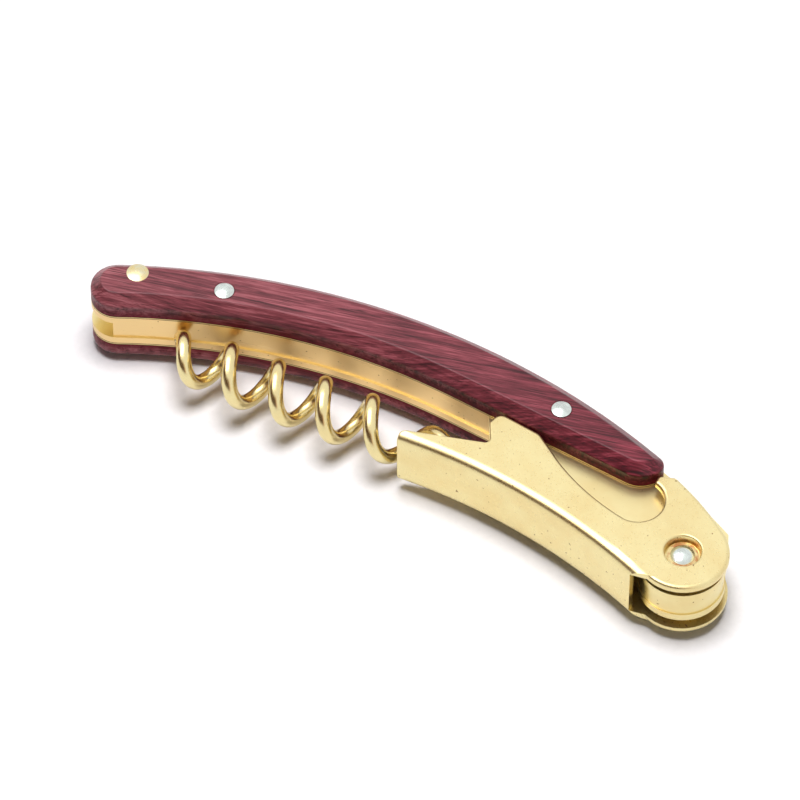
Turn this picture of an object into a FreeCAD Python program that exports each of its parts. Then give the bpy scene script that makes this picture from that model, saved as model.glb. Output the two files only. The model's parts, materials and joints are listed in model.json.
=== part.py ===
import FreeCAD, Part

import math
import os

import Sketcher
from FreeCAD import Vector

# Waiter's corkscrew, closed: a curved two-scale handle with a worm, a foil knife and a two-step lever.
# Frame: millimetres.  +X runs from the tail towards the lever's pivot, +Y towards the back of the
# curve and +Z out of the upper scale.  The origin is on the flat outer face of the lower scale, on
# which the tool lies.  The sketches measure from the lever's pivot, at mid thickness, and each
# finished piece is then moved to the common frame.

DRIVING_SIZES = {
    # Point of the lower scale's face that is the origin, measured from the lever's pivot
    "rest_x": -58.0, "rest_y": 13.3,
    # Back (convex) and belly (concave) edges of the handle: two long arcs
    "back_radius": 128.0, "back_centre_x": -46.0, "back_apex_y": 18.6,
    "belly_radius": 109.0, "belly_centre_x": -50.0, "belly_apex_y": 8.6,
    "belly_head_y": 8.6,
    # Tail end, before its corners are rounded
    "tail_back_x": -114.9, "tail_belly_x": -109.8, "tail_round": 4.5,
    # Head end of the scales: an arc about the lever's pivot that clears the cap lifter's hook
    "head_arc_radius": 16.4, "head_back_x": -9.4, "head_belly_x": -13.6,
    "head_back_round": 1.9, "head_belly_round": 4.5,
    # Stack of layers through the handle
    "slot_width": 3.8, "liner_thickness": 1.4, "plate_thickness": 0.45, "scale_thickness": 4.25,
    "scale_chamfer": 1.8, "scale_edge_round": 0.4, "scale_foot_round": 0.5, "hole_ease": 0.18,
    # Bolster round the lever's pivot, with the corner that stops the lever
    "bolster_radius": 7.2, "stop_back_x": 3.7, "stop_front_x": 4.6, "stop_front_y": 7.0,
    "stop_foot_angle": 40.0, "bolster_heel_angle": 210.0, "stop_round": 0.4,
    # Lobe of the liners that carries the worm's pivot
    "lobe_corner_x": -36.0, "lobe_corner_y": -1.7, "lobe_top_x": -42.4, "lobe_round": 2.5,
    # Back spring, the middle layer: a bar along the belly that widens into the bolster
    "spring_recess": 0.3, "spring_bar_depth": 3.1, "spring_tail_x": -106.9, "spring_root_x": -47.5,
    "spring_block_x": -44.5, "spring_inset": 0.2, "hub_room_radius": 4.4, "hub_room_x": -34.0,
    # Pins
    "knife_pin_x": -106.4, "knife_pin_y": 0.0, "knife_pin_radius": 1.87,
    "tail_rivet_x": -92.0, "tail_rivet_y": 4.5, "tail_rivet_radius": 1.65,
    "spring_pin_x": -31.2, "spring_pin_y": 13.1, "pin_dome_height": 0.45, "pin_hole_clearance": 0.02,
    "worm_pin_radius": 1.0,
    # Knife
    "blade_thickness": 1.8, "tang_radius": 2.9, "tang_back_angle": 120.0, "tang_foot_angle": -75.0,
    "blade_proud": 0.8, "blade_edge_depth": 3.6, "blade_heel_x": -98.0, "blade_shoulder_x": -99.5,
    "blade_belly_x": -58.0, "blade_tip_x": -50.0,
    "blade_ricasso_x": -95.0, "blade_tip_radius": 13.0, "blade_bevel_height": 2.2,
    "blade_edge_thickness": 0.3,
    "nick_x": -70.0, "nick_length": 11.0, "nick_width": 1.3, "nick_depth": 0.35, "nick_inset": 0.75,
    "knife_washer_radius": 2.7, "knife_washer_thickness": 0.9,
    # Worm: a round wire wound right handed; reaches run along its axis from the pivot
    "worm_pivot_x": -28.0, "worm_pivot_y": 2.5, "worm_slope": 7.0, "hub_radius": 2.9,
    "worm_coil_radius": 4.0, "worm_wire_radius": 1.27, "worm_pitch": 8.67,
    "worm_seat": 1.9, "worm_shank_end": 12.5, "worm_shank_ease": 13.5, "worm_unwind_length": 17.5,
    "worm_coil_start": 32.5, "worm_coil_end": 57.0, "worm_end": 68.2, "worm_end_angle": 5.0,
    "worm_point_length": 2.6, "worm_point_radius": 0.15, "worm_end_coil_radius": 3.0,
    # Lever: one folded channel of sheet
    "lever_width": 12.2, "lever_sheet": 1.2, "lever_bend_radius": 1.6, "ear_edge_round": 0.6,
    "step_edge_round": 0.3, "dimple_edge_round": 0.35, "steps_end_x": -26.0,
    "spine_radius": 108.0, "spine_centre_x": -35.5, "spine_apex_y": -3.7, "spine_end_x": -5.2,
    "step_tip_x": -52.1, "step_tip_y": -3.2, "step_tip_round": 1.3,
    "step_notch_x": -38.2, "step_notch_y": 2.2, "step_notch_round": 0.9,
    "tooth_foot_x": -40.7, "tooth_foot_y": 6.0, "tooth_top_x": -40.3, "tooth_top_y": 8.5,
    "tooth_round": 1.6, "tooth_end_x": -32.3, "tooth_end_y": 8.2, "tooth_end_round": 2.5,
    "lifter_start_x": -26.9, "lifter_start_y": 5.1, "lifter_sweep_radius": 42.0,
    "lifter_x": -11.7, "lifter_y": 5.15, "lifter_radius": 4.45, "hook_angle": 82.0,
    "hook_nose_x": -11.3, "hook_nose_y": 11.2, "hook_back_x": -8.7, "hook_back_y": 12.35,
    "hook_point_round": 0.4, "hook_round": 0.7, "hook_back_round": 1.2,
    "ear_radius": 7.7, "ear_back_angle": 58.0, "ear_heel_angle": 252.0,
    # Pressed dimple, rivet and washers at the lever's pivot
    "dimple_radius": 3.1, "dimple_floor_radius": 2.85, "dimple_gap": 0.05,
    "rivet_shank_radius": 1.5, "rivet_head_radius": 2.0, "rivet_head_height": 0.8,
    "rivet_washer_radius": 2.6, "rivet_washer_thickness": 0.3,
    # Clearance between a part that turns and the part it turns on
    "running_clearance": 0.05,
}

# Points that the centre line of the worm's wound wire is drawn through
WORM_STEPS = 120
# Half the distance over which the wire's direction is measured
TANGENT_STEP = 1e-3
# Largest gap closed where two lengths of the wire's skin meet
SEWING_TOLERANCE = 0.01

doc = FreeCAD.newDocument("waiters_corkscrew")
sheet = doc.addObject("Spreadsheet::Sheet", "sizes")
for row, (alias, value) in enumerate(DRIVING_SIZES.items(), start=1):
    sheet.set(f"A{row}", alias)
    sheet.set(f"B{row}", str(value))
    sheet.setAlias(f"B{row}", alias)
doc.recompute()


# ---------------------------------------------------------------- formulas in the sheet's sizes

def size(alias):
    """The value of one driving dimension."""
    return float(sheet.get(alias))


def cell(alias):
    """The expression that reads one driving dimension."""
    return f"sizes.{alias}"


def total(*terms):
    """The expression that adds up several expressions."""
    return "(" + " + ".join(str(term) for term in terms) + ")"


def minus(term):
    return f"(0 - {term})"


def on_arc(x, radius, centre_x, apex_y, growth=0):
    """Height at x of a long arc with its crown at apex_y, moved outwards by growth."""
    centre_y = f"({cell(apex_y)} - {cell(radius)})"
    reach = f"({cell(radius)} + {growth})"
    return f"({centre_y} + sqrt({reach} * {reach} - ({x} - {cell(centre_x)}) * ({x} - {cell(centre_x)})))"


def back_y(x, growth=0):
    return on_arc(x, "back_radius", "back_centre_x", "back_apex_y", growth)


def belly_y(x, growth=0):
    return on_arc(x, "belly_radius", "belly_centre_x", "belly_apex_y", growth)


def spine_y(x, growth=0):
    return on_arc(x, "spine_radius", "spine_centre_x", "spine_apex_y", growth)


def polar(radius, angle, centre_x="0", centre_y="0"):
    """The point at an angle, in degrees, on a circle."""
    turn = f"(({angle}) * 1deg)"
    return f"({centre_x} + {radius} * cos({turn}))", f"({centre_y} + {radius} * sin({turn}))"


def tangent_radius(point, radius, angle):
    """Radius of the arc from a point that runs smoothly into a circle about the origin, at an angle."""
    x, y = point
    toward_x, toward_y = polar(1, angle)
    along = f"({x} * {toward_x} + {y} * {toward_y})"
    reach = f"({x} * {x} + {y} * {y} + {radius} * {radius})"
    return f"(({reach} - 2 * {radius} * {along}) / (2 * ({radius} - {along})))"


def number(expression):
    value = sheet.evalExpression(expression)
    return float(getattr(value, "Value", value))


HALF_SLOT = f"({cell('slot_width')} / 2)"
LINER_FACE = total(HALF_SLOT, cell("liner_thickness"))
PLATE_FACE = total(LINER_FACE, cell("plate_thickness"))
SCALE_FACE = total(PLATE_FACE, cell("scale_thickness"))
HALF_LEVER = f"({cell('lever_width')} / 2)"
FLANGE_INSIDE = f"({HALF_LEVER} - {cell('lever_sheet')})"
DIMPLE_INSIDE = total(LINER_FACE, cell("dimple_gap"))
DIMPLE_FLOOR = total(DIMPLE_INSIDE, cell("lever_sheet"))
KNIFE_PIVOT = (cell("knife_pin_x"), cell("knife_pin_y"))
TAIL_RIVET = (cell("tail_rivet_x"), cell("tail_rivet_y"))
SPRING_PIN = (cell("spring_pin_x"), cell("spring_pin_y"))
WORM_PIVOT = (cell("worm_pivot_x"), cell("worm_pivot_y"))
LEVER_PIVOT = ("0", "0")


# ---------------------------------------------------------------- sketches and features

def origin_plane(body, role):
    return next(item for item in body.Origin.OriginFeatures if item.Role == role)


def new_sketch(body, name, role="XY_Plane", height=None):
    sketch = body.newObject("Sketcher::SketchObject", name)
    sketch.AttachmentSupport = [(origin_plane(body, role), "")]
    sketch.MapMode = "FlatFace"
    if height is not None:
        sketch.setExpression("AttachmentOffset.Base.z", height)
    return sketch


def bind(sketch, kind, *elements, value):
    """Add one dimension to a sketch and bind it to the sheet."""
    index = sketch.addConstraint(Sketcher.Constraint(kind, *elements, number(value)))
    sketch.setExpression(f"Constraints[{index}]", value)


def arc_centre(start, end, radius, turn):
    """Centre of the short arc from start to end; turn is +1 when it bends left and -1 right."""
    chord = end - start
    half = chord.Length / 2
    sideways = Vector(-chord.y, chord.x, 0).normalize()
    return (start + end) / 2 + sideways * turn * math.sqrt(radius * radius - half * half)


def draw_outline(sketch, corners):
    """Draw a closed outline.  Each corner is (x, y), or (x, y, radius, turn) if an arc leaves it."""
    points = [Vector(number(corner[0]), number(corner[1]), 0) for corner in corners]
    ends = []
    for index, corner in enumerate(corners):
        start = points[index]
        end = points[(index + 1) % len(points)]
        if len(corner) == 2:
            edge = sketch.addGeometry(Part.LineSegment(start, end))
            ends.append((edge, 1, 2))
            continue
        radius, turn = number(corner[2]), corner[3]
        centre = arc_centre(start, end, radius, turn)
        first, last = (start, end) if turn > 0 else (end, start)
        angles = [math.atan2(point.y - centre.y, point.x - centre.x) for point in (first, last)]
        circle = Part.Circle(centre, Vector(0, 0, 1), radius)
        edge = sketch.addGeometry(Part.ArcOfCircle(circle, angles[0], angles[1]))
        ends.append((edge, 1, 2) if turn > 0 else (edge, 2, 1))
    for index, (edge, start, end) in enumerate(ends):
        following, next_start, _ = ends[(index + 1) % len(ends)]
        sketch.addConstraint(Sketcher.Constraint("Coincident", edge, end, following, next_start))
    for (edge, start, _), corner in zip(ends, corners):
        bind(sketch, "DistanceX", -1, 1, edge, start, value=corner[0])
        bind(sketch, "DistanceY", -1, 1, edge, start, value=corner[1])
        if len(corner) > 2:
            bind(sketch, "Radius", edge, value=corner[2])


def draw_circle(sketch, centre, radius):
    middle = Vector(number(centre[0]), number(centre[1]), 0)
    edge = sketch.addGeometry(Part.Circle(middle, Vector(0, 0, 1), number(radius)))
    bind(sketch, "DistanceX", -1, 1, edge, 3, value=centre[0])
    bind(sketch, "DistanceY", -1, 1, edge, 3, value=centre[1])
    bind(sketch, "Radius", edge, value=radius)


def new_body(label):
    body = doc.addObject("PartDesign::Body", label)
    body.Label = label
    return body


def settle(feature):
    """Recompute, and stop if the new feature failed."""
    doc.recompute()
    failed = "Invalid" in feature.State or "Error" in feature.State or feature.Shape.isNull()
    assert not failed, f"{feature.Label} failed: {feature.getStatusString()}"
    return feature


def pad(body, name, corners, length, height=None, midplane=False):
    sketch = new_sketch(body, name + "_outline", height=height)
    draw_outline(sketch, corners)
    feature = body.newObject("PartDesign::Pad", name)
    feature.Profile = sketch
    feature.Midplane = midplane
    feature.setExpression("Length", length)
    return settle(feature)


def cut_through(body, name, sketch):
    """Cut a sketch right through the body, both ways."""
    before = body.Shape.Volume
    feature = body.newObject("PartDesign::Pocket", name)
    feature.Profile = sketch
    feature.Midplane = True
    feature.setExpression("Length", f"(3 * {SCALE_FACE})")
    settle(feature)
    assert body.Shape.Volume < before - 1e-6, f"{body.Label}: {name} cut nothing"
    return feature


def drill(body, name, holes):
    """Drill round holes, each ((x, y), radius), right through the body."""
    sketch = new_sketch(body, name + "_circles")
    for centre, radius in holes:
        draw_circle(sketch, centre, radius)
    return cut_through(body, name, sketch)


def revolve_feature(body, name, kind, corners, centre):
    """Turn a half profile about a vertical axis; corners are (distance from the axis, height)."""
    sketch = new_sketch(body, name + "_profile", role="XZ_Plane")
    draw_outline(sketch, corners)
    sketch.setExpression("AttachmentOffset.Base.x", centre[0])
    sketch.setExpression("AttachmentOffset.Base.z", minus(centre[1]))
    feature = body.newObject(kind, name)
    feature.Profile = sketch
    feature.ReferenceAxis = (sketch, ["V_Axis"])
    feature.Angle = 360.0
    return settle(feature)


def upright_edges(shape, corners):
    """Names of the upright edges that stand at the given (x, y) corners."""
    places = [Vector(number(x), number(y), 0) for x, y in corners]
    names = []
    for index, edge in enumerate(shape.Edges, start=1):
        first, last = edge.Vertexes[0].Point, edge.Vertexes[-1].Point
        flat_first = Vector(first.x, first.y, 0)
        if abs(first.z - last.z) < 1e-3 or flat_first.distanceToPoint(Vector(last.x, last.y, 0)) > 1e-3:
            continue
        if any(flat_first.distanceToPoint(place) < 1e-2 for place in places):
            names.append(f"Edge{index}")
    assert names, "no upright edge at the corner"
    return names


def level_edges(shape, height):
    """Names of the edges that lie flat at a height."""
    names = []
    for index, edge in enumerate(shape.Edges, start=1):
        places = [edge.valueAt(edge.FirstParameter + part * (edge.LastParameter - edge.FirstParameter))
                  for part in (0.0, 0.5, 1.0)]
        if all(abs(place.z - height) < 1e-4 for place in places):
            names.append(f"Edge{index}")
    return names


def ease_edges(body, name, kind, names, measure, value):
    """Round or bevel some edges of the body; measure is the feature's Radius or Size."""
    base = body.Tip
    feature = body.newObject(kind, name)
    feature.Base = (base, names)
    feature.setExpression(measure, value)
    return settle(feature)


def round_corners(body, name, corners, radius):
    """Round the upright edges at some corners of the body's outline."""
    names = upright_edges(body.Shape, [corner[:2] for corner in corners])
    return ease_edges(body, name, "PartDesign::Fillet", names, "Radius", radius)


# ---------------------------------------------------------------- shared outlines

TAIL_BACK = (cell("tail_back_x"), back_y(cell("tail_back_x")), cell("back_radius"), -1)
TAIL_BELLY = (cell("tail_belly_x"), belly_y(cell("tail_belly_x")))
BELLY_CROWN = (cell("belly_centre_x"), cell("belly_apex_y"), cell("belly_radius"), +1)


def belly_line_y(x):
    """Height of the straight head end of the belly edge."""
    run = f"({cell('head_belly_x')} - {cell('belly_centre_x')})"
    rise = f"({cell('belly_head_y')} - {cell('belly_apex_y')})"
    return f"({cell('belly_apex_y')} + ({x} - {cell('belly_centre_x')}) / {run} * {rise})"


HEAD_BACK = (cell("head_back_x"), back_y(cell("head_back_x")), cell("head_arc_radius"), +1)
HEAD_BELLY = (cell("head_belly_x"), cell("belly_head_y"))
SCALE_OUTLINE = [TAIL_BACK, HEAD_BACK, HEAD_BELLY, BELLY_CROWN, TAIL_BELLY]

STOP_BACK = (cell("stop_back_x"), back_y(cell("stop_back_x")))
STOP_FRONT = (cell("stop_front_x"), cell("stop_front_y"))
STOP_FOOT = (*polar(cell("bolster_radius"), cell("stop_foot_angle")), cell("bolster_radius"), -1)
BOLSTER_FOOT = ("0", minus(cell("bolster_radius")), cell("bolster_radius"), -1)
BOLSTER_HEEL = polar(cell("bolster_radius"), cell("bolster_heel_angle"))
LOBE_CORNER = (cell("lobe_corner_x"), cell("lobe_corner_y"))
LOBE_TOP = (cell("lobe_top_x"), belly_line_y(cell("lobe_top_x")))
LINER_OUTLINE = [TAIL_BACK, STOP_BACK, STOP_FRONT, STOP_FOOT, BOLSTER_FOOT, BOLSTER_HEEL,
                 LOBE_CORNER, LOBE_TOP, BELLY_CROWN, TAIL_BELLY]


def pin_hole(radius):
    return total(cell(radius), cell("pin_hole_clearance"))


SCALE_HOLES = [(KNIFE_PIVOT, pin_hole("knife_pin_radius")),
               (TAIL_RIVET, pin_hole("tail_rivet_radius")),
               (SPRING_PIN, pin_hole("tail_rivet_radius"))]


# ---------------------------------------------------------------- handle

def layer_base(side, inner, outer):
    """Height at which a layer's pad starts, on the upper (+1) or the lower (-1) side."""
    return inner if side > 0 else minus(outer)


def scale_layer(label, side, inner, outer):
    """A layer with the scales' rounded outline, between two distances from mid thickness."""
    body = new_body(label)
    pad(body, label + "_pad", SCALE_OUTLINE, f"({outer} - {inner})", height=layer_base(side, inner, outer))
    round_corners(body, label + "_tail", [TAIL_BACK, TAIL_BELLY], cell("tail_round"))
    round_corners(body, label + "_head_back", [HEAD_BACK], cell("head_back_round"))
    round_corners(body, label + "_head_belly", [HEAD_BELLY], cell("head_belly_round"))
    return body


def make_scale(label, side):
    """One wooden scale: a broad bevel round its outer face and three eased pin holes."""
    body = scale_layer(label, side, PLATE_FACE, SCALE_FACE)
    top = side * number(SCALE_FACE)
    foot = side * number(f"({SCALE_FACE} - {cell('scale_chamfer')})")
    ease_edges(body, label + "_bevel", "PartDesign::Chamfer",
               level_edges(body.Shape, top), "Size", cell("scale_chamfer"))
    ease_edges(body, label + "_bevel_top", "PartDesign::Fillet",
               level_edges(body.Shape, top), "Radius", cell("scale_edge_round"))
    ease_edges(body, label + "_bevel_foot", "PartDesign::Fillet",
               level_edges(body.Shape, foot), "Radius", cell("scale_foot_round"))
    drill(body, label + "_holes", SCALE_HOLES)
    rims = [name for name in level_edges(body.Shape, top) if body.Shape.getElement(name).isClosed()]
    ease_edges(body, label + "_hole_rims", "PartDesign::Chamfer", rims, "Size", cell("hole_ease"))
    return body


def make_scale_plate(label, side):
    """Thin backing plate between a scale and its liner."""
    body = scale_layer(label, side, LINER_FACE, PLATE_FACE)
    drill(body, label + "_holes", SCALE_HOLES)
    return body


def make_liner(label, side):
    """Frame liner: follows the handle, drops into the worm's lobe and ends in the bolster."""
    body = new_body(label)
    pad(body, label + "_pad", LINER_OUTLINE, cell("liner_thickness"),
        height=layer_base(side, HALF_SLOT, LINER_FACE))
    round_corners(body, label + "_tail", [TAIL_BACK, TAIL_BELLY], cell("tail_round"))
    round_corners(body, label + "_lobe", [LOBE_CORNER], cell("lobe_round"))
    round_corners(body, label + "_stop", [STOP_BACK, STOP_FRONT], cell("stop_round"))
    drill(body, label + "_holes", SCALE_HOLES + [
        (WORM_PIVOT, pin_hole("worm_pin_radius")),
        (LEVER_PIVOT, pin_hole("rivet_shank_radius"))])
    return body


def make_back_spring():
    """Middle layer: a spring bar along the belly that widens into the bolster's core."""
    recess, depth, inset = cell("spring_recess"), cell("spring_bar_depth"), cell("spring_inset")
    core_radius = f"({cell('bolster_radius')} - {inset})"
    tail_x, root_x, block_x = cell("spring_tail_x"), cell("spring_root_x"), cell("spring_block_x")
    stop_x = f"({cell('stop_back_x')} - {inset})"
    room_x, room = cell("worm_pivot_x"), cell("hub_room_radius")
    crown = (cell("belly_centre_x"), total(cell("belly_apex_y"), recess))
    outline = [
        (tail_x, belly_y(tail_x, depth), total(cell("belly_radius"), depth), -1),
        (root_x, belly_y(root_x, depth)),
        (block_x, back_y(block_x, minus(inset)), f"({cell('back_radius')} - {inset})", -1),
        (stop_x, back_y(stop_x, minus(inset))),
        (*polar(core_radius, cell("stop_foot_angle")), core_radius, -1),
        ("0", minus(core_radius), core_radius, -1),
        polar(core_radius, cell("bolster_heel_angle")),
        (total(room_x, room), f"({cell('lobe_corner_y')} + {inset})"),
        (total(room_x, room), cell("worm_pivot_y"), room, +1),
        (room_x, total(cell("worm_pivot_y"), room)),
        (cell("hub_room_x"), total(belly_line_y(cell("hub_room_x")), recess)),
        (*crown, total(cell("belly_radius"), recess), +1),
        (tail_x, belly_y(tail_x, recess)),
    ]
    body = new_body("back_spring")
    pad(body, "back_spring_pad", outline, cell("slot_width"), midplane=True)
    drill(body, "back_spring_holes", [(SPRING_PIN, pin_hole("tail_rivet_radius")),
                                      (LEVER_PIVOT, pin_hole("rivet_shank_radius"))])
    return body


def make_domed_pin(label, centre, radius, half_length):
    """Through pin with a low dome on each end."""
    body = new_body(label)
    dome = cell("pin_dome_height")
    crown = total(half_length, dome)
    dome_radius = f"(({radius} * {radius} + {dome} * {dome}) / (2 * {dome}))"
    profile = [("0", minus(crown), dome_radius, +1), (radius, minus(half_length)),
               (radius, half_length, dome_radius, +1), ("0", crown)]
    revolve_feature(body, label + "_turned", "PartDesign::Revolution", profile, centre)
    return body


def make_straight_pin(label, centre, radius, half_length):
    """Plain pin whose ends lie flush in the liners."""
    body = new_body(label)
    sketch = new_sketch(body, label + "_circle")
    draw_circle(sketch, centre, radius)
    shank = body.newObject("PartDesign::Pad", label + "_shank")
    shank.Profile = sketch
    shank.Midplane = True
    shank.setExpression("Length", f"(2 * {half_length})")
    settle(shank)
    return body


def make_scale_rivets():
    """Two short domed rivets that hold the scales to the liners without crossing the knife's slot."""
    radius, dome = size("tail_rivet_radius"), size("pin_dome_height")
    foot = number(HALF_SLOT)
    face = number(SCALE_FACE)
    dome_radius = (radius * radius + dome * dome) / (2 * dome)
    rivets = []
    for side in (+1, -1):
        shank = Part.makeCylinder(radius, face - foot, Vector(0, 0, foot))
        ball = Part.makeSphere(dome_radius, Vector(0, 0, face + dome - dome_radius))
        cap = ball.common(Part.makeCylinder(radius, dome, Vector(0, 0, face)))
        rivet = shank.fuse(cap).removeSplitter()
        rivets.append(rivet if side > 0 else rivet.mirror(Vector(0, 0, 0), Vector(0, 0, 1)))
    feature = doc.addObject("Part::Feature", "scale_rivets")
    feature.Label = "scale_rivets"
    feature.Shape = Part.makeCompound(rivets)
    feature.Placement.Base = Vector(size("tail_rivet_x"), size("tail_rivet_y"), 0)
    return feature


def make_washer_pair(label, centre, outer, inner, start, thickness):
    """Two flat washers on one axis, one above and one below the middle of the handle."""
    washers = []
    for side in ("upper", "lower"):
        disc = doc.addObject("Part::Cylinder", f"{label}_{side}_disc")
        hole = doc.addObject("Part::Cylinder", f"{label}_{side}_hole")
        for cylinder, radius in ((disc, outer), (hole, inner)):
            cylinder.setExpression("Radius", radius)
            cylinder.setExpression("Height", thickness)
            cylinder.setExpression("Placement.Base.x", centre[0])
            cylinder.setExpression("Placement.Base.y", centre[1])
            height = start if side == "upper" else minus(total(start, thickness))
            cylinder.setExpression("Placement.Base.z", height)
        washer = doc.addObject("Part::Cut", f"{label}_{side}")
        washer.Base = disc
        washer.Tool = hole
        washers.append(washer)
    pair = doc.addObject("Part::Compound", label)
    pair.Label = label
    pair.Links = washers
    return settle(pair)


# ---------------------------------------------------------------- knife

def make_knife_blade():
    """Curved foil knife, folded: its edge faces the spring and its back stands a little proud."""
    proud, depth = cell("blade_proud"), cell("blade_edge_depth")
    ricasso_x, tip_x = cell("blade_ricasso_x"), cell("blade_tip_x")
    belly_x, heel_x, shoulder_x = cell("blade_belly_x"), cell("blade_heel_x"), cell("blade_shoulder_x")
    back_reach, edge_reach = total(cell("back_radius"), proud), total(cell("belly_radius"), depth)
    body = new_body("knife_blade")
    pad(body, "knife_blade_plate", [
        (heel_x, back_y(heel_x, proud), back_reach, -1),
        (tip_x, back_y(tip_x, proud), cell("blade_tip_radius"), -1),
        (belly_x, belly_y(belly_x, depth), edge_reach, +1),
        (heel_x, belly_y(heel_x, depth)),
    ], cell("blade_thickness"), midplane=True)
    grind_edge(body, edge_reach)
    pad(body, "knife_blade_tang", [
        polar(cell("tang_radius"), cell("tang_back_angle"), *KNIFE_PIVOT),
        (shoulder_x, back_y(shoulder_x, proud), back_reach, -1),
        (ricasso_x, back_y(ricasso_x, proud)),
        (ricasso_x, belly_y(ricasso_x, depth), edge_reach, +1),
        (heel_x, belly_y(heel_x, depth)),
        (*polar(cell("tang_radius"), cell("tang_foot_angle"), *KNIFE_PIVOT), cell("tang_radius"), -1),
    ], cell("blade_thickness"), midplane=True)
    drill(body, "knife_blade_bore",
          [(KNIFE_PIVOT, total(cell("knife_pin_radius"), cell("running_clearance")))])
    cut_nail_nick(body)
    return body


def grind_edge(body, edge_reach):
    """Grind both flanks down to a thin edge; the edge is an arc about the belly's own centre."""
    flank = f"({cell('blade_thickness')} / 2)"
    edge = f"({cell('blade_edge_thickness')} / 2)"
    spare = cell("blade_thickness")
    centre = (cell("belly_centre_x"), f"({cell('belly_apex_y')} - {cell('belly_radius')})")
    inside, ground = f"({edge_reach} - {spare})", total(edge_reach, cell("blade_bevel_height"))
    for name, sign in (("upper_bevel", ""), ("lower_bevel", "0 - ")):
        before = body.Shape.Volume
        revolve_feature(body, name, "PartDesign::Groove", [
            (inside, f"({sign}{edge})"), (edge_reach, f"({sign}{edge})"), (ground, f"({sign}{flank})"),
            (ground, f"({sign}{total(flank, spare)})"), (inside, f"({sign}{total(flank, spare)})"),
        ], centre)
        assert body.Shape.Volume < before, f"{name} cut nothing"


def cut_nail_nick(body):
    """Shallow slot for a fingernail, near the back of the upper flank."""
    top = f"({cell('blade_thickness')} / 2)"
    low, high = cell("nick_inset"), total(cell("nick_inset"), cell("nick_width"))
    left, right = cell("nick_x"), total(cell("nick_x"), cell("nick_length"))
    sketch = new_sketch(body, "nail_nick_outline", height=top)
    reach = total(cell("back_radius"), cell("blade_proud"))
    inner, outer = minus(f"({high} - {cell('blade_proud')})"), minus(f"({low} - {cell('blade_proud')})")
    draw_outline(sketch, [(left, back_y(left, outer), f"({reach} - {low})", -1),
                          (right, back_y(right, outer)),
                          (right, back_y(right, inner), f"({reach} - {high})", +1),
                          (left, back_y(left, inner))])
    before = body.Shape.Volume
    nick = body.newObject("PartDesign::Pocket", "nail_nick")
    nick.Profile = sketch
    nick.setExpression("Length", cell("nick_depth"))
    doc.recompute()
    assert body.Shape.Volume < before, "the nail nick cut nothing"
    return nick


# ---------------------------------------------------------------- worm

def worm_axis():
    """Unit vectors along the worm, from its pivot to its point, and square to it in the plane."""
    slope = math.radians(size("worm_slope"))
    along = Vector(-math.cos(slope), -math.sin(slope), 0)
    return along, Vector(along.y, -along.x, 0)


def smooth_step(value):
    value = min(1.0, max(0.0, value))
    return value * value * (3 - 2 * value)


def worm_radial(reach):
    """Direction from the worm's axis to its wire; the coils open out towards the shank."""
    _, sideways = worm_axis()
    unwound = max(0.0, size("worm_coil_start") - reach)
    even = size("worm_end") - reach - unwound
    opened = unwound - unwound * unwound / (2 * size("worm_unwind_length"))
    angle = math.radians(size("worm_end_angle")) + 2 * math.pi * (even + opened) / size("worm_pitch")
    return sideways * math.cos(angle) + Vector(0, 0, math.sin(angle))


def worm_centre(reach):
    """Centre of the wire: on the axis in the shank, out on the coils, a little in at the point."""
    along, _ = worm_axis()
    outwards = smooth_step((reach - size("worm_shank_end")) / size("worm_shank_ease"))
    past_coils = (reach - size("worm_coil_end")) / (size("worm_end") - size("worm_coil_end"))
    drawn_in = (size("worm_coil_radius") - size("worm_end_coil_radius")) * smooth_step(past_coils)
    return along * reach + worm_radial(reach) * (size("worm_coil_radius") * outwards - drawn_in)


def worm_heading(reach):
    """Direction of the wire."""
    return (worm_centre(reach + TANGENT_STEP) - worm_centre(reach - TANGENT_STEP)).normalize()


def wound_wire_path(start, end):
    """Smooth centre line of the wire between two distances from the pivot."""
    curve = Part.BSplineCurve()
    curve.interpolate([worm_centre(start + (end - start) * step / WORM_STEPS)
                       for step in range(WORM_STEPS + 1)])
    return Part.Wire(curve.toShape())


def make_worm():
    """Right-handed screw of round wire: a straight shank, the coils and a drawn point."""
    along, _ = worm_axis()
    seat, shank_end, end = size("worm_seat"), size("worm_shank_end"), size("worm_end")
    ring = Part.Wire(Part.makeCircle(size("worm_wire_radius"), along * seat, along))
    faces = [Part.Face(ring)]
    shank_run = along * (shank_end - seat)
    faces += ring.extrude(shank_run).Faces
    ring.translate(shank_run)

    coils = Part.BRepOffsetAPI.MakePipeShell(wound_wire_path(shank_end, end))
    coils.setFrenetMode(True)
    coils.add(ring)
    coils.build()
    faces += coils.shape().Faces

    last_ring = coils.lastShape()
    tip = last_ring.copy()
    tip.scale(size("worm_point_radius") / size("worm_wire_radius"), worm_centre(end))
    tip.translate(worm_heading(end) * size("worm_point_length"))
    faces += Part.makeLoft([last_ring, tip], False, True).Faces
    faces.append(Part.Face(tip))

    skin = Part.makeCompound(faces)
    skin.sewShape(SEWING_TOLERANCE)
    feature = doc.addObject("Part::Feature", "worm")
    feature.Label = "worm"
    feature.Shape = Part.makeSolid(skin.Shells[0])
    feature.Placement.Base = Vector(size("worm_pivot_x"), size("worm_pivot_y"), 0)
    return feature


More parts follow.
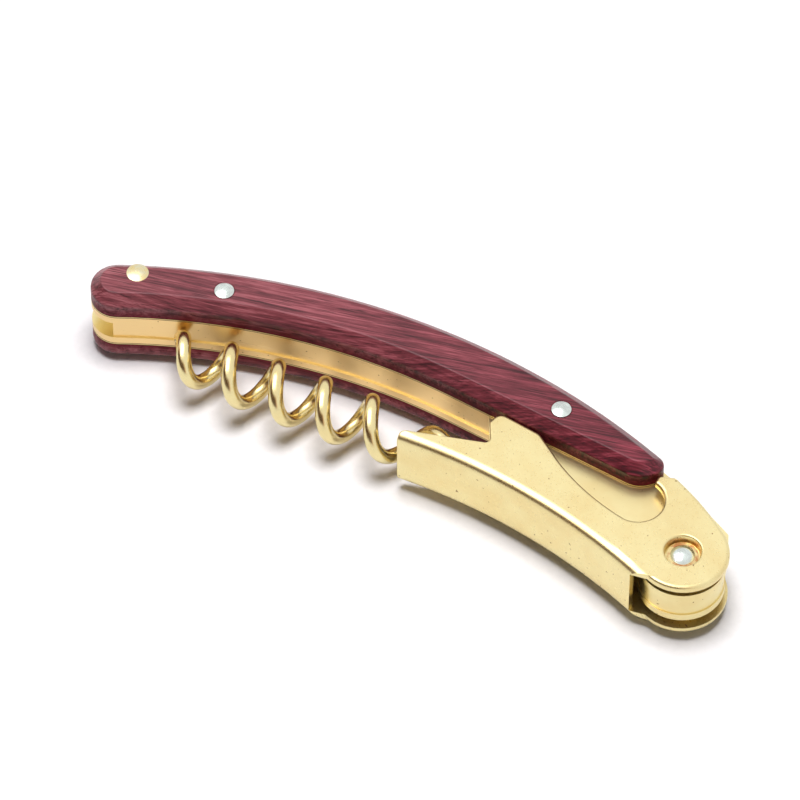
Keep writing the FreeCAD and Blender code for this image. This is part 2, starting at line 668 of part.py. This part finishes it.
def make_worm_hub():
    """Barrel that turns on the worm's pin, with a blind hole for the end of the shank."""
    body = new_body("worm_hub")
    sketch = new_sketch(body, "worm_hub_circle")
    draw_circle(sketch, WORM_PIVOT, cell("hub_radius"))
    barrel = body.newObject("PartDesign::Pad", "worm_hub_barrel")
    barrel.Profile = sketch
    barrel.Midplane = True
    barrel.setExpression("Length", f"({cell('slot_width')} - 2 * {cell('running_clearance')})")
    settle(barrel)
    bore = total(cell("worm_pin_radius"), cell("running_clearance"))
    drill(body, "worm_hub_bore", [(WORM_PIVOT, bore)])
    seat = body.newObject("PartDesign::SubtractiveCylinder", "worm_hub_seat")
    seat.setExpression("Radius", cell("worm_wire_radius"))
    seat.setExpression("Height", cell("hub_radius"))
    along, _ = worm_axis()
    seat.Placement = FreeCAD.Placement(Vector(), FreeCAD.Rotation(Vector(0, 0, 1), along))
    foot_x, foot_y = polar(minus(cell("worm_seat")), cell("worm_slope"), *WORM_PIVOT)
    seat.setExpression("Placement.Base.x", foot_x)
    seat.setExpression("Placement.Base.y", foot_y)
    settle(seat)
    return body


# ---------------------------------------------------------------- lever

def lever_outline():
    """Side view of the folded lever, from the step at its tip round to the end of its spine."""
    lifter = (cell("lifter_x"), cell("lifter_y"))
    ear, radius = cell("ear_radius"), cell("lifter_radius")
    spine_end, tip_foot = cell("spine_end_x"), cell("step_tip_x")
    hook_back = (cell("hook_back_x"), cell("hook_back_y"))
    return {
        "tip_foot": (tip_foot, spine_y(tip_foot)),
        "tip_top": (tip_foot, cell("step_tip_y")),
        "notch": (cell("step_notch_x"), cell("step_notch_y")),
        "tooth_foot": (cell("tooth_foot_x"), cell("tooth_foot_y")),
        "tooth_top": (cell("tooth_top_x"), cell("tooth_top_y")),
        "tooth_end": (cell("tooth_end_x"), cell("tooth_end_y")),
        "lifter_start": (cell("lifter_start_x"), cell("lifter_start_y"),
                         cell("lifter_sweep_radius"), +1),
        "lifter_floor": (lifter[0], f"({lifter[1]} - {radius})", radius, +1),
        "hook_point": polar(radius, cell("hook_angle"), *lifter),
        "hook_nose": (cell("hook_nose_x"), cell("hook_nose_y")),
        "hook_back": (*hook_back, tangent_radius(hook_back, ear, cell("ear_back_angle")), -1),
        "ear_back": (*polar(ear, cell("ear_back_angle")), ear, -1),
        "ear_foot": ("0", minus(ear), ear, -1),
        "ear_heel": polar(ear, cell("ear_heel_angle")),
        "spine_end": (spine_end, spine_y(spine_end), cell("spine_radius"), +1),
    }


def hollow_lever(body, outline):
    """Cut out the channel: all but the two flanges and the spine between them."""
    spine_end, tip_x = cell("spine_end_x"), outline["tip_foot"][0]
    sheet_thickness = cell("lever_sheet")
    inner_radius = total(cell("spine_radius"), sheet_thickness)
    beyond_tip = f"({tip_x} - {sheet_thickness})"
    above = f"(3 * {cell('ear_radius')})"
    below = minus(above)
    past_ear = f"(2 * {cell('ear_radius')})"
    sketch = new_sketch(body, "lever_channel_outline")
    draw_outline(sketch, [
        (beyond_tip, spine_y(beyond_tip, sheet_thickness), inner_radius, -1),
        (spine_end, spine_y(spine_end, sheet_thickness)),
        (spine_end, below),
        (past_ear, below),
        (past_ear, above),
        (beyond_tip, above),
    ])
    channel = body.newObject("PartDesign::Pocket", "lever_channel")
    channel.Profile = sketch
    channel.Midplane = True
    channel.setExpression("Length", f"(2 * {FLANGE_INSIDE})")
    return settle(channel)


def flange_edges(shape, chosen):
    """Names of the edges on the flanges' outer faces whose middle is a chosen (x, y)."""
    half_width = size("lever_width") / 2
    names = []
    for index, edge in enumerate(shape.Edges, start=1):
        ends = edge.FirstParameter, edge.LastParameter
        start, middle = edge.valueAt(ends[0]), edge.valueAt(sum(ends) / 2)
        on_face = all(abs(abs(place.z) - half_width) < 1e-3 for place in (start, middle))
        if on_face and chosen(middle.x, middle.y):
            names.append(f"Edge{index}")
    return names


def height_over_spine(x, y):
    """Distance of a place from the arc of the spine, towards the flanges."""
    centre_y = size("spine_apex_y") - size("spine_radius")
    return math.hypot(x - size("spine_centre_x"), y - centre_y) - size("spine_radius")


def on_ear(x, y):
    return abs(math.hypot(x, y) - size("ear_radius")) < 1e-2


def on_spine(x, y):
    return abs(height_over_spine(x, y)) < 1e-2


def on_steps(x, y):
    return x < size("steps_end_x") and height_over_spine(x, y) > size("lever_bend_radius") + 0.05


def on_dimple(x, y):
    return math.hypot(x, y) < size("ear_radius") - size("lever_sheet")


def ease_flanges(body, name, chosen, radius):
    names = flange_edges(body.Shape, chosen)
    assert names, f"{name} found no edge"
    return ease_edges(body, name, "PartDesign::Fillet", names, "Radius", cell(radius))


def press_dimple(body, side, name):
    """Press a dimple into one flange, down to the bolster."""
    rim, floor = cell("dimple_radius"), cell("dimple_floor_radius")
    wall = cell("lever_sheet")

    def height(level):
        return level if side > 0 else minus(level)

    boss = [("0", height(DIMPLE_INSIDE)), (total(floor, wall), height(DIMPLE_INSIDE)),
            (total(rim, wall), height(FLANGE_INSIDE)),
            (total(rim, wall), height(total(FLANGE_INSIDE, f"({wall} / 2)"))),
            ("0", height(total(FLANGE_INSIDE, f"({wall} / 2)")))]
    revolve_feature(body, name + "_boss", "PartDesign::Revolution", boss, LEVER_PIVOT)
    recess = [("0", height(DIMPLE_FLOOR)), (floor, height(DIMPLE_FLOOR)),
              (rim, height(HALF_LEVER)), (rim, height(total(HALF_LEVER, wall))),
              ("0", height(total(HALF_LEVER, wall)))]
    before = body.Shape.Volume
    revolve_feature(body, name + "_recess", "PartDesign::Groove", recess, LEVER_PIVOT)
    assert body.Shape.Volume < before, f"{name} cut nothing"


def make_lever():
    """Lever folded from one sheet: two flanges, a curved spine, two steps and a cap lifter."""
    outline = lever_outline()
    body = new_body("lever")
    pad(body, "lever_blank", list(outline.values()), cell("lever_width"), midplane=True)
    for corner, radius in (("tip_top", "step_tip_round"), ("notch", "step_notch_round"),
                           ("tooth_top", "tooth_round"), ("tooth_end", "tooth_end_round"),
                           ("hook_point", "hook_point_round"), ("hook_nose", "hook_round"),
                           ("hook_back", "hook_back_round")):
        round_corners(body, "lever_" + corner, [outline[corner]], cell(radius))
    ease_flanges(body, "lever_ear", on_ear, "ear_edge_round")
    ease_flanges(body, "lever_bend", on_spine, "lever_bend_radius")
    ease_flanges(body, "lever_steps", on_steps, "step_edge_round")
    hollow_lever(body, outline)
    press_dimple(body, +1, "upper_dimple")
    press_dimple(body, -1, "lower_dimple")
    bore = total(cell("rivet_shank_radius"), cell("running_clearance"))
    drill(body, "lever_bore", [(LEVER_PIVOT, bore)])
    ease_flanges(body, "lever_dimples", on_dimple, "dimple_edge_round")
    return body


def make_lever_rivet():
    """Steel rivet through both flanges, with a domed head in each dimple."""
    shank, head = cell("rivet_shank_radius"), cell("rivet_head_radius")
    seat = total(DIMPLE_FLOOR, cell("rivet_washer_thickness"), cell("dimple_gap"))
    rise = cell("rivet_head_height")
    dome_radius = f"(({head} * {head} + {rise} * {rise}) / (2 * {rise}))"
    profile = [("0", minus(total(seat, rise)), dome_radius, +1), (head, minus(seat)),
               (shank, minus(seat)), (shank, seat), (head, seat, dome_radius, +1),
               ("0", total(seat, rise))]
    body = new_body("lever_rivet")
    revolve_feature(body, "lever_rivet_turned", "PartDesign::Revolution", profile, LEVER_PIVOT)
    return body


# ---------------------------------------------------------------- all the pieces

def move_to_common_frame(piece):
    """Move a finished piece from the lever's pivot to the origin on the lower scale's face."""
    start = piece.Placement.Base
    shift = {"x": minus(cell("rest_x")), "y": minus(cell("rest_y")), "z": SCALE_FACE}
    for axis, distance in shift.items():
        piece.setExpression(f"Placement.Base.{axis}", total(getattr(start, axis), distance))


half_blade = f"({cell('blade_thickness')} / 2)"
pieces = [
    make_scale("upper_scale", +1),
    make_scale("lower_scale", -1),
    make_scale_plate("upper_scale_plate", +1),
    make_scale_plate("lower_scale_plate", -1),
    make_liner("upper_liner", +1),
    make_liner("lower_liner", -1),
    make_back_spring(),
    make_domed_pin("knife_pin", KNIFE_PIVOT, cell("knife_pin_radius"), SCALE_FACE),
    make_domed_pin("spring_pin", SPRING_PIN, cell("tail_rivet_radius"), SCALE_FACE),
    make_scale_rivets(),
    make_knife_blade(),
    make_washer_pair("knife_washers", KNIFE_PIVOT, cell("knife_washer_radius"),
                     pin_hole("knife_pin_radius"), total(half_blade, cell("running_clearance")),
                     cell("knife_washer_thickness")),
    make_worm(),
    make_worm_hub(),
    make_straight_pin("worm_pin", WORM_PIVOT, cell("worm_pin_radius"), LINER_FACE),
    make_lever(),
    make_lever_rivet(),
    make_washer_pair("rivet_washers", LEVER_PIVOT, cell("rivet_washer_radius"),
                     pin_hole("rivet_shank_radius"), total(DIMPLE_FLOOR, cell("dimple_gap")),
                     cell("rivet_washer_thickness")),
]

for piece in pieces:
    move_to_common_frame(piece)
doc.recompute()
for item in doc.Objects:
    assert "Invalid" not in item.State and "Error" not in item.State, f"{item.Label} failed"
for piece in pieces:
    assert not piece.Shape.isNull() and piece.Shape.isValid(), f"{piece.Label} has no valid shape"

os.makedirs("parts", exist_ok=True)
for piece in pieces:
    piece.Shape.exportStep(os.path.join("parts", piece.Label + ".step"))
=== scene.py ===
"""Looks of a waiter's corkscrew: materials for every piece, a pale floor, studio light and a camera."""

import json
import math

import bpy
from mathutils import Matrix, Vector


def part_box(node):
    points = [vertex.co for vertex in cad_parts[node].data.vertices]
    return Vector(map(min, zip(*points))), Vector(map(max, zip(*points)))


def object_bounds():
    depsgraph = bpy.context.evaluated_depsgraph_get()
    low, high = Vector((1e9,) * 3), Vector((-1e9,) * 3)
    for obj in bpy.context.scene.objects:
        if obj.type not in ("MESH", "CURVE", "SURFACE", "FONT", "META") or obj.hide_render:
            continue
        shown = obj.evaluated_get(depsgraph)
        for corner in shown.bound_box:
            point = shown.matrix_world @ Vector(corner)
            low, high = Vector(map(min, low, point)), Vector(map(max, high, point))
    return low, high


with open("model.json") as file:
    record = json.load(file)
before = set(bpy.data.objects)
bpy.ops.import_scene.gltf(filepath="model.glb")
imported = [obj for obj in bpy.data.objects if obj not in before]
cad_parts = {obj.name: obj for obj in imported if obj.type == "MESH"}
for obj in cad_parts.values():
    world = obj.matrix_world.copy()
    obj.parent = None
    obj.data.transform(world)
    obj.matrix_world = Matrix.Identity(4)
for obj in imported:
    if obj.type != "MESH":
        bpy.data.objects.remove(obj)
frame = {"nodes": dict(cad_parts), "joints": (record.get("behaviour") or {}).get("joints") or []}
cad_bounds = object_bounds()

MM = 0.001
NODES = frame["nodes"]
JOINTS = {joint["name"]: joint for joint in frame["joints"]}
LEVER_PIVOT = Vector(JOINTS["lever_hinge"]["pos_m"])
# Point that the camera and the lamps aim at, measured from the lever's pivot
SUBJECT = LEVER_PIVOT + Vector((-58.1, 5.8, 0.0)) * MM


# ---------------------------------------------------------------- colours

def linear(red, green, blue):
    """Linear colour of an 8-bit screen colour."""
    def channel(value):
        value /= 255
        return value / 12.92 if value <= 0.04045 else ((value + 0.055) / 1.055) ** 2.4
    return channel(red), channel(green), channel(blue), 1.0


# Wood at the tail, and at the head, where it is deeper and redder
WOOD_TAIL = [linear(80, 38, 44), linear(138, 70, 78), linear(182, 112, 118)]
WOOD_HEAD = [linear(24, 6, 12), linear(92, 22, 36), linear(156, 62, 78)]
WOOD_PORE = linear(30, 14, 18)
# Deep red painted as shade at the foot of the scales' side walls
WOOD_FOOT_SHADE = linear(108, 14, 32)
# Black and brown painted as shade on the borders of the plates under the scales
PLATE_SHADE_BLACK = linear(24, 17, 16)
PLATE_SHADE_BROWN = linear(48, 32, 26)
GOLD = linear(239, 223, 168)
GOLD_WARM = linear(235, 214, 156)
GOLD_TAN = linear(236, 203, 145)
GOLD_PIT = linear(120, 74, 40)
STEEL = linear(224, 233, 228)
STEEL_DULL = linear(204, 210, 206)
PALE_BRASS = linear(228, 222, 190)
BRONZE = linear(196, 132, 84)
BLADE = linear(200, 203, 205)
WHITE = (1.0, 1.0, 1.0, 1.0)


# ---------------------------------------------------------------- node helpers

class NodeBuilder:
    """Builds in one node tree, with a short call for each node."""

    def __init__(self, tree):
        self.tree = tree

    def node(self, kind, inputs=None, **settings):
        """A new node, with its inputs fed and its settings set."""
        made = self.tree.nodes.new("ShaderNode" + kind)
        for setting, value in settings.items():
            setattr(made, setting, value)
        for socket, value in (inputs or {}).items():
            self.feed(made, socket, value)
        return made

    def feed(self, node, socket, value):
        """Set an input to a value, or link it to another node's output."""
        if isinstance(value, bpy.types.NodeSocket):
            self.tree.links.new(value, node.inputs[socket])
        else:
            node.inputs[socket].default_value = value

    def place(self, stretch=(1, 1, 1), turn=0.0):
        """Coordinates in the object's frame, turned about Z and then stretched."""
        where = self.node("TexCoord").outputs["Object"]
        turned = self.node("Mapping", {"Vector": where, "Rotation": (0, 0, -turn)})
        return self.node("Mapping", {"Vector": turned.outputs[0], "Scale": stretch}).outputs[0]

    def axis(self, name):
        """One coordinate in the object's frame: X, Y or Z."""
        return self.node("SeparateXYZ", {"Vector": self.place()}).outputs[name]

    def noise(self, where, scale, detail=3.0, roughness=0.55, distortion=0.0):
        """Noise with about scale cells to the metre."""
        return self.node("TexNoise", {"Vector": where, "Scale": scale, "Detail": detail,
                                      "Roughness": roughness, "Distortion": distortion}).outputs["Fac"]

    def grain(self, stretch, detail=3.0, roughness=0.6, distortion=0.0, turn=0.0):
        """Noise drawn out along the axes; stretch is its cells to the metre along each."""
        return self.noise(self.place(stretch, turn), 1.0, detail, roughness, distortion)

    def ramp(self, factor, stops):
        """Colours along a factor; each stop is (position, colour)."""
        made = self.node("ValToRGB", {"Fac": factor})
        elements = made.color_ramp.elements
        while len(elements) < len(stops):
            elements.new(0.5)
        for element, (position, colour) in zip(elements, stops):
            element.position = position
            element.color = colour
        return made.outputs["Color"]

    def spread(self, factor, low_in, high_in, low_out, high_out):
        """Map a range of a factor to another range, held at its ends."""
        return self.node("MapRange", {"Value": factor, "From Min": low_in, "From Max": high_in,
                                      "To Min": low_out, "To Max": high_out}).outputs[0]

    def mix(self, factor, first, second):
        """Blend of two colours: the first at factor 0, the second at 1."""
        colours = {0: factor, 6: first, 7: second}
        return self.node("Mix", colours, data_type="RGBA").outputs[2]

    def maths(self, operation, *values):
        return self.node("Math", dict(enumerate(values)), operation=operation).outputs[0]

    def vector_maths(self, operation, *vectors):
        return self.node("VectorMath", dict(enumerate(vectors)), operation=operation).outputs

    def bump(self, height, distance, strength=1.0, below=None):
        """Normal that follows a height; below is the bump that it lies on."""
        inputs = {"Height": height, "Distance": distance, "Strength": strength}
        if below is not None:
            inputs["Normal"] = below
        return self.node("Bump", inputs).outputs[0]


class Shader(NodeBuilder):
    """A new material, with the nodes that feed its surface."""

    def __init__(self, name):
        self.material = bpy.data.materials.new(name)
        self.material.use_nodes = True
        super().__init__(self.material.node_tree)
        self.surface = self.tree.nodes["Principled BSDF"]

    def depth(self):
        """Distance from the tool's middle plane."""
        return self.maths("ABSOLUTE", self.maths("SUBTRACT", self.axis("Z"), LEVER_PIVOT.z))

    def finish(self, **inputs):
        """Feed the surface; an underscore in a name stands for a space."""
        for socket, value in inputs.items():
            self.feed(self.surface, socket.replace("_", " "), value)
        return self.material


# ---------------------------------------------------------------- materials

# Direction of the grain in the plane of the scales
WOOD_GRAIN_TURN = math.radians(18)
# Streak values at which the wood is dark, middling and light
WOOD_TONES = (0.40, 0.50, 0.62)
# Height of the band at the scales' foot that is painted a deep red as shade on their side walls
WOOD_SHADED_FOOT_BAND = 1.3 * MM


def wood_streaks(shader, fibres, bands):
    """Streaks of the wood: its fibres, its broad bands and its glued layers."""
    layers = shader.grain((50, 50, 3400))
    streaks = 0.0
    for noise, share in ((fibres, 0.50), (bands, 0.30), (layers, 0.20)):
        streaks = shader.maths("ADD", streaks, shader.maths("MULTIPLY", noise, share))
    return streaks


def wood_colour(shader, streaks, pores, depth):
    """Colour that grows darker and redder towards the head, with dark pores and a deep red foot painted
    as shade.
    """
    low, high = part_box("upper_scale")
    foot = low.z - LEVER_PIVOT.z
    headwards = shader.spread(shader.axis("X"), low.x, high.x, 0.0, 1.0)
    tail, head = (shader.ramp(streaks, list(zip(WOOD_TONES, shades)))
                  for shades in (WOOD_TAIL, WOOD_HEAD))
    stain = shader.mix(headwards, tail, head)
    stain = shader.mix(shader.spread(pores, 0.58, 0.70, 0.0, 0.85), stain, WOOD_PORE)
    # Painted shade: the foot of the scales' side walls is mixed towards a deep red
    return shader.mix(shader.spread(depth, foot, foot + WOOD_SHADED_FOOT_BAND, 0.8, 0.1), stain, WOOD_FOOT_SHADE)


def make_wood():
    """Wine-red laminated wood, polished except at its foot, with fine slanting grain."""
    shader = Shader("wine_wood")
    fibres = shader.grain((150, 3400, 900), 4.0, 0.65, 0.4, WOOD_GRAIN_TURN)
    bands = shader.grain((40, 900, 300), 3.0, 0.55, 0.8, WOOD_GRAIN_TURN)
    pores = shader.grain((220, 6400, 2400), 2.0, 0.5, 0.0, WOOD_GRAIN_TURN)
    depth = shader.depth()
    colour = wood_colour(shader, wood_streaks(shader, fibres, bands), pores, depth)
    polish_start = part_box("upper_scale")[0].z - LEVER_PIVOT.z + WOOD_SHADED_FOOT_BAND
    polish = shader.spread(depth, polish_start, polish_start + WOOD_SHADED_FOOT_BAND, 0.0, 1.0)
    return shader.finish(Base_Color=colour,
                         Roughness=shader.spread(bands, 0.3, 0.7, 0.30, 0.42),
                         Normal=shader.bump(fibres, 0.02 * MM, 0.5, shader.bump(pores, 0.03 * MM, 0.5)),
                         Specular_IOR_Level=shader.spread(polish, 0.0, 1.0, 0.06, 0.35),
                         Coat_Weight=shader.maths("MULTIPLY", polish, 0.15), Coat_Roughness=0.10)


# The bright line on a plate's edge: half its width, and where the painted shade on its dark borders is
# full
PLATE_LINE = 0.05 * MM
PLATE_SHADE_FULL = 0.13 * MM


def make_plate():
    """Thin brass plate: a bright line along its edge, between two borders painted dark as shade."""
    shader = Shader("plate_brass")
    plate_depth = middle("upper_scale_plate").z - LEVER_PIVOT.z
    from_middle = shader.maths("ABSOLUTE", shader.maths("SUBTRACT", shader.depth(), plate_depth))
    bright = shader.spread(from_middle, PLATE_LINE, PLATE_SHADE_FULL, 1.0, 0.0)
    # Painted shade: the plate's borders are dark, as the shadowed gaps above and below its bright line
    painted_shade = shader.ramp(shader.grain((300, 300, 9000)), [(0.4, PLATE_SHADE_BLACK), (0.65, PLATE_SHADE_BROWN)])
    return shader.finish(Base_Color=shader.mix(bright, painted_shade, GOLD_TAN), Metallic=bright,
                         Roughness=0.45, Specular_IOR_Level=0.1)


# Distance along X over which the painted tan shade on the frame's edges fades out
SHADE_FADE = 4 * MM


def painted_side_shade(shader, shade_until):
    """Mask of painted shade and warm reflection: 1 on upright faces as far along X as shade_until, and 0
    on flat ones.
    """
    normal = shader.node("NewGeometry").outputs["Normal"]
    level = shader.maths("ABSOLUTE", shader.node("SeparateXYZ", {"Vector": normal}).outputs["Z"])
    upright = shader.spread(level, 0.3, 0.8, 1.0, 0.0)
    return shader.maths("MULTIPLY", upright,
                        shader.spread(shader.axis("X"), shade_until, shade_until + SHADE_FADE, 1.0, 0.0))


def make_gold(name, roughness, grain, wear, shade_until=None):
    """Pale gold plating, with fine rub marks and dark pits.

    Grain is the stretch of the rub marks, and wear the strength of the pits. The upright edges
    are painted a deeper tan, as shade and warm reflection, as far along X as shade_until.
    """
    shader = Shader(name)
    rub = shader.grain(grain)
    cloud = shader.noise(shader.place(), 140.0)
    speck = shader.noise(shader.place(), 1500.0, 1.0)
    colour = shader.ramp(cloud, [(0.35, GOLD_WARM), (0.60, GOLD)])
    if shade_until is not None:
        # Painted shade and warm reflection: upright faces towards the tail turn a deeper tan
        colour = shader.mix(painted_side_shade(shader, shade_until), colour, GOLD_TAN)
    pits = shader.spread(speck, 0.73, 0.78, 0.0, 0.75)
    colour = shader.mix(shader.maths("MULTIPLY", pits, wear), colour, GOLD_PIT)
    polish = shader.spread(rub, 0.3, 0.7, roughness * 0.9, roughness * 1.15)
    rough = shader.maths("ADD", polish, shader.maths("MULTIPLY", pits, wear * 0.3))
    normal = shader.bump(rub, 0.0015 * MM, 0.35, shader.bump(cloud, 0.02 * MM, 0.12))
    return shader.finish(Base_Color=colour, Metallic=1.0, Roughness=rough, Normal=normal)


def make_turned_metal(name, light, dull, roughness, centre):
    """Metal turned on a lathe: faint rings about an upright axis."""
    shader = Shader(name)
    where = shader.node("TexCoord").outputs["Object"]
    offset = shader.vector_maths("SUBTRACT", where, Vector((centre.x, centre.y, 0)))[0]
    flat = shader.vector_maths("MULTIPLY", offset, (1, 1, 0))[0]
    radius = shader.vector_maths("LENGTH", flat)["Value"]
    rings = shader.noise(shader.node("CombineXYZ", {"X": radius}).outputs[0], 5200.0, 2.0)
    cloud = shader.noise(shader.place(), 900.0, 2.0)
    return shader.finish(Base_Color=shader.ramp(cloud, [(0.35, dull), (0.62, light)]), Metallic=1.0,
                         Roughness=shader.spread(rings, 0.3, 0.7, roughness * 0.7, roughness * 1.4),
                         Normal=shader.bump(rings, 0.006 * MM, 0.4))


def make_blade_steel():
    """Ground stainless steel: fine grinding lines across the blade."""
    shader = Shader("blade_steel")
    lines = shader.grain((5200, 160, 600))
    cloud = shader.noise(shader.place(), 120.0)
    return shader.finish(Base_Color=shader.ramp(cloud, [(0.3, STEEL_DULL), (0.6, BLADE)]), Metallic=1.0,
                         Roughness=shader.spread(lines, 0.3, 0.7, 0.18, 0.36),
                         Normal=shader.bump(lines, 0.005 * MM, 0.5))


def middle(node):
    """Middle of a node's box."""
    low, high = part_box(node)
    return (low + high) / 2


def paint(material, *names):
    """Give the named nodes one material."""
    for name in names:
        data = NODES[name].data
        data.materials.clear()
        data.materials.append(material)


# Distance before the lever's pivot at which the frame's edges stop being painted tan as shade
SHADE_END = 14 * MM


def paint_pieces():
    """Give every piece its material."""
    lever_gold = make_gold("lever_gold", roughness=0.29, grain=(2600, 2600, 2600), wear=1.0)
    frame_gold = make_gold("frame_gold", roughness=0.30, grain=(60, 60, 3000), wear=1.0,
                           shade_until=LEVER_PIVOT.x - SHADE_END)
    worm_gold = make_gold("worm_gold", roughness=0.23, grain=(400, 400, 400), wear=0.3)
    paint(make_wood(), "upper_scale", "lower_scale")
    paint(make_plate(), "upper_scale_plate", "lower_scale_plate")
    paint(lever_gold, "lever")
    paint(frame_gold, "upper_liner", "lower_liner", "back_spring")
    paint(worm_gold, "worm", "worm_hub")
    paint(make_blade_steel(), "knife_blade")
    for node in ("scale_rivets", "spring_pin", "lever_rivet", "worm_pin"):
        paint(make_turned_metal(node + "_steel", STEEL, STEEL_DULL, 0.24, middle(node)), node)
    for node in ("rivet_washers", "knife_washers"):
        paint(make_turned_metal(node + "_bronze", BRONZE, GOLD_WARM, 0.26, middle(node)), node)
    brass = make_turned_metal("knife_pin_brass", PALE_BRASS, GOLD_WARM, 0.3, middle("knife_pin"))
    paint(brass, "knife_pin")


# ---------------------------------------------------------------- stage

FLOOR_RADIUS = 0.55
FLOOR_CORNERS = 96
FLOOR_WHITE = linear(252, 250, 253)
FLOOR_MARK = linear(248, 246, 249)
# Darker paper for the light that bounces off it, so that the metal does not burn out
FLOOR_BOUNCE = linear(240, 240, 240)


def lay_floor():
    """Round white table top that the tool lies on."""
    base = cad_bounds[0][2]
    angles = [2 * math.pi * corner / FLOOR_CORNERS for corner in range(FLOOR_CORNERS)]
    rim = [(FLOOR_RADIUS * math.cos(angle), FLOOR_RADIUS * math.sin(angle), base) for angle in angles]
    mesh = bpy.data.meshes.new("floor")
    mesh.from_pydata(rim, [], [tuple(range(FLOOR_CORNERS))])
    floor = bpy.data.objects.new("floor", mesh)
    bpy.context.scene.collection.objects.link(floor)
    shader = Shader("floor_paper")
    fibre = shader.noise(shader.place(), 900.0, 2.0)
    paper = shader.ramp(fibre, [(0.3, FLOOR_MARK), (0.6, FLOOR_WHITE)])
    seen = shader.node("LightPath").outputs["Is Camera Ray"]
    colour = shader.mix(seen, FLOOR_BOUNCE, paper)
    mesh.materials.append(shader.finish(Base_Color=colour, Roughness=0.9, Specular_IOR_Level=0.0,
                                        Normal=shader.bump(fibre, 0.02 * MM, 0.2)))


# Stops of the room's brightness: sine of the elevation, then brightness
ROOM = [(0.72, 0.95), (0.86, 1.0)]
# The unlit side of the studio: its direction, where it begins and is full, and stops of its darkness
DARK_SIDE = (-0.33, -0.94, 0.0)
DARK_EDGE, DARK_CORE = 0.30, 0.65
DARKNESS = [(0.0, 0.0), (0.05, 0.94), (0.57, 0.94), (0.68, 0.0)]
# Tint of the unlit side, so that gold reflects it as brown
DARK_TINT = (1.8, 0.95, 0.55, 1.0)
# Share of the room's brightness that reaches matt surfaces
ROOM_FILL = 0.13


def light_room():
    """White studio room with one unlit side."""
    world = bpy.data.worlds.new("room")
    world.use_nodes = True
    room = NodeBuilder(world.node_tree)
    direction = room.node("TexCoord").outputs["Generated"]
    height = room.node("SeparateXYZ", {"Vector": direction}).outputs["Z"]
    rise = room.spread(height, -1.0, 1.0, 0.0, 1.0)

    def by_height(stops):
        return room.ramp(rise, [((level + 1) / 2, (value, value, value, 1.0)) for level, value in stops])

    facing = room.vector_maths("DOT_PRODUCT", direction, DARK_SIDE)["Value"]
    sideways = room.spread(facing, DARK_EDGE, DARK_CORE, 0.0, 1.0)
    unlit = room.maths("MULTIPLY", sideways, by_height(DARKNESS))
    brightness = room.maths("MULTIPLY", by_height(ROOM), room.maths("SUBTRACT", 1.0, unlit))
    tint = room.mix(unlit, WHITE, DARK_TINT)
    matt = room.node("LightPath").outputs["Is Diffuse Ray"]
    background = world.node_tree.nodes["Background"]
    room.feed(background, "Color", room.vector_maths("MULTIPLY", tint, brightness)[0])
    room.feed(background, "Strength", room.spread(matt, 0.0, 1.0, 1.0, ROOM_FILL))
    bpy.context.scene.world = world


def hang_softbox(name, towards, distance, side, power):
    """Square soft light, aimed at the tool; returns the lamp."""
    light = bpy.data.lights.new(name, "AREA")
    light.shape = "SQUARE"
    light.size = side
    light.energy = power
    lamp = bpy.data.objects.new(name, light)
    bpy.context.scene.collection.objects.link(lamp)
    lamp.location = SUBJECT + Vector(towards).normalized() * distance
    lamp.rotation_euler = (SUBJECT - lamp.location).to_track_quat("-Z", "Y").to_euler()
    return lamp


def hang_lamps():
    """A key light overhead that metal doesn't mirror, and a strip light seen only in reflections."""
    key = hang_softbox("key_light", towards=(0.0, 0.01, 1.0), distance=1.0, side=0.46, power=10.8)
    key.visible_glossy = False
    strip = hang_softbox("strip_light", towards=(-0.33, -0.15, 0.93), distance=0.7, side=0.62,
                         power=2.8)
    strip.visible_diffuse = False


CAMERA_AZIMUTH = math.radians(32.2)
CAMERA_ELEVATION = math.radians(52.0)
CAMERA_DISTANCE = 1.2
VIEW_WIDTH = 133.3 * MM
SENSOR_WIDTH = 36.0


def set_camera():
    """Long lens, so that parallel edges stay nearly parallel."""
    data = bpy.data.cameras.new("camera")
    data.sensor_width = SENSOR_WIDTH
    data.lens = SENSOR_WIDTH * CAMERA_DISTANCE / VIEW_WIDTH
    camera = bpy.data.objects.new("camera", data)
    bpy.context.scene.collection.objects.link(camera)
    level = math.cos(CAMERA_ELEVATION)
    direction = Vector((math.sin(CAMERA_AZIMUTH) * level, -math.cos(CAMERA_AZIMUTH) * level,
                        math.sin(CAMERA_ELEVATION)))
    camera.location = SUBJECT + direction * CAMERA_DISTANCE
    camera.rotation_euler = (-direction).to_track_quat("-Z", "Y").to_euler()
    bpy.context.scene.camera = camera


paint_pieces()
lay_floor()
light_room()
hang_lamps()
set_camera()
bpy.context.scene.view_settings.view_transform = "Standard"
